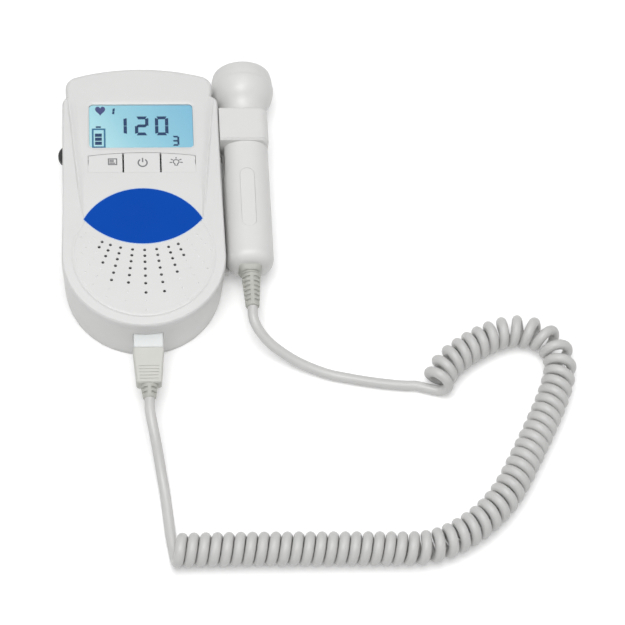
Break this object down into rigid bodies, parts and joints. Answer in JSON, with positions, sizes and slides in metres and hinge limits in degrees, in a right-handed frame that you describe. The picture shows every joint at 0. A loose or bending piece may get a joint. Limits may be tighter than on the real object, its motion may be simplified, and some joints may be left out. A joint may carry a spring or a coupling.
{
  "type": "fetal doppler",
  "caption": "Handheld fetal doppler with display, keys, speaker grille and side volume wheel, and a docked ultrasonic probe on a curly plug-in cord.",
  "frame": {"origin": "on the main unit's back face, on which it lies, 0.65 mm below the middle of its length", "axes": "+Y towards the display end, +Z out of the front face, +X towards the docked probe"},
  "size_m": [0.2309, 0.2474, 0.0297],
  "materials": {
    "case_white": "satin moulded plastic",
    "clear_lens": "clear display cover",
    "display_cyan": "lit liquid-crystal panel",
    "diffuser_white": "backlight diffuser",
    "label_blue": "printed gloss overlay",
    "grey_rubber": "soft moulded rubber",
    "cord_grey": "smooth cord jacket",
    "black_plastic": "moulded plastic",
    "board_green": "solder mask",
    "steel": "plated steel",
    "ferrite": "magnet and acoustic backing",
    "speaker_paper": "pressed paper cone",
    "cell_wrap": "wrapped steel cell",
    "acoustic_grey": "acoustic window",
    "ceramic": "piezo ceramic"
  },
  "bodies": {
    "unit": {"front_shell": "case_white", "back_shell": "case_white", "lcd_bezel": "case_white", "lcd_backlight": "diffuser_white", "lcd_panel": "display_cyan", "lcd_lens": "clear_lens", "label_plate": "label_blue", "switch_mode": "black_plastic", "switch_power": "black_plastic", "switch_light": "black_plastic", "main_board": "board_green", "processor_chip": "black_plastic", "amplifier_chip": "black_plastic", "speaker_frame": "steel", "speaker_cone": "speaker_paper", "speaker_magnet": "ferrite", "volume_pot": "black_plastic", "battery_1": "cell_wrap", "battery_2": "cell_wrap", "contact_plus_1": "steel", "contact_plus_2": "steel", "contact_minus_1": "steel", "contact_minus_2": "steel", "battery_spring_1": "steel", "battery_spring_2": "steel", "shell_screw_1": "steel", "shell_screw_2": "steel", "shell_screw_3": "steel", "shell_screw_4": "steel", "probe_socket": "black_plastic", "cord_coil": "cord_grey", "cord_plug_run": "cord_grey", "cord_probe_run": "cord_grey"},
    "probe": {"probe_body": "case_white", "probe_plate": "case_white", "probe_head": "case_white", "acoustic_lens": "acoustic_grey", "crystal_transmit": "ceramic", "crystal_receive": "ceramic", "crystal_backing": "ferrite", "probe_board": "board_green", "probe_grommet": "grey_rubber", "probe_boot": "grey_rubber"},
    "plug": {"plug_nose": "case_white", "plug_body": "grey_rubber", "plug_boot": "grey_rubber"},
    "mode_key": {"key_mode": "case_white"},
    "power_key": {"key_power": "case_white"},
    "light_key": {"key_light": "case_white"},
    "mode_plunger": {"switch_plunger_mode": "black_plastic"},
    "power_plunger": {"switch_plunger_power": "black_plastic"},
    "light_plunger": {"switch_plunger_light": "black_plastic"},
    "wheel": {"volume_wheel": "black_plastic"},
    "door": {"battery_door": "case_white"}
  },
  "joints": [
    {"name": "probe_dock", "type": "slide", "parent": "unit", "child": "probe", "axis": [0, 1, 0], "range_m": [0, 0.015], "deforming": ["cord_probe_run"]},
    {"name": "plug_pull", "type": "slide", "parent": "unit", "child": "plug", "axis": [0, -1, 0], "range_m": [0, 0.009], "deforming": ["cord_plug_run"]},
    {"name": "mode_key_press", "type": "hinge", "parent": "unit", "child": "mode_key", "pos_m": [-0.01645, 0.0116, 0.0271], "axis": [-1, 0, 0], "range_deg": [0, 5], "stiffness_Nm_per_rad": 0.05, "springref_deg": -2.86},
    {"name": "power_key_press", "type": "hinge", "parent": "unit", "child": "power_key", "pos_m": [0, 0.0116, 0.0271], "axis": [-1, 0, 0], "range_deg": [0, 5], "stiffness_Nm_per_rad": 0.05, "springref_deg": -2.86},
    {"name": "light_key_press", "type": "hinge", "parent": "unit", "child": "light_key", "pos_m": [0.01645, 0.0116, 0.0271], "axis": [-1, 0, 0], "range_deg": [0, 5], "stiffness_Nm_per_rad": 0.05, "springref_deg": -2.86},
    {"name": "mode_plunger_push", "type": "slide", "parent": "unit", "child": "mode_plunger", "axis": [0, 0, -1], "range_m": [0, 0.0007]},
    {"name": "power_plunger_push", "type": "slide", "parent": "unit", "child": "power_plunger", "axis": [0, 0, -1], "range_m": [0, 0.0007]},
    {"name": "light_plunger_push", "type": "slide", "parent": "unit", "child": "light_plunger", "axis": [0, 0, -1], "range_m": [0, 0.0007]},
    {"name": "volume_turn", "type": "hinge", "parent": "unit", "child": "wheel", "pos_m": [-0.0322, 0.024, 0.0217], "axis": [0, 0, 1], "range_deg": [0, 270]},
    {"name": "door_slide", "type": "slide", "parent": "unit", "child": "door", "axis": [0, -1, 0], "range_m": [0, 0.01]}
  ],
  "couplings": [
    {"joint": "mode_plunger_push", "follows": "mode_key_press", "m_per_rad": 0.0049},
    {"joint": "power_plunger_push", "follows": "power_key_press", "m_per_rad": 0.0049},
    {"joint": "light_plunger_push", "follows": "light_key_press", "m_per_rad": 0.0049}
  ]
}
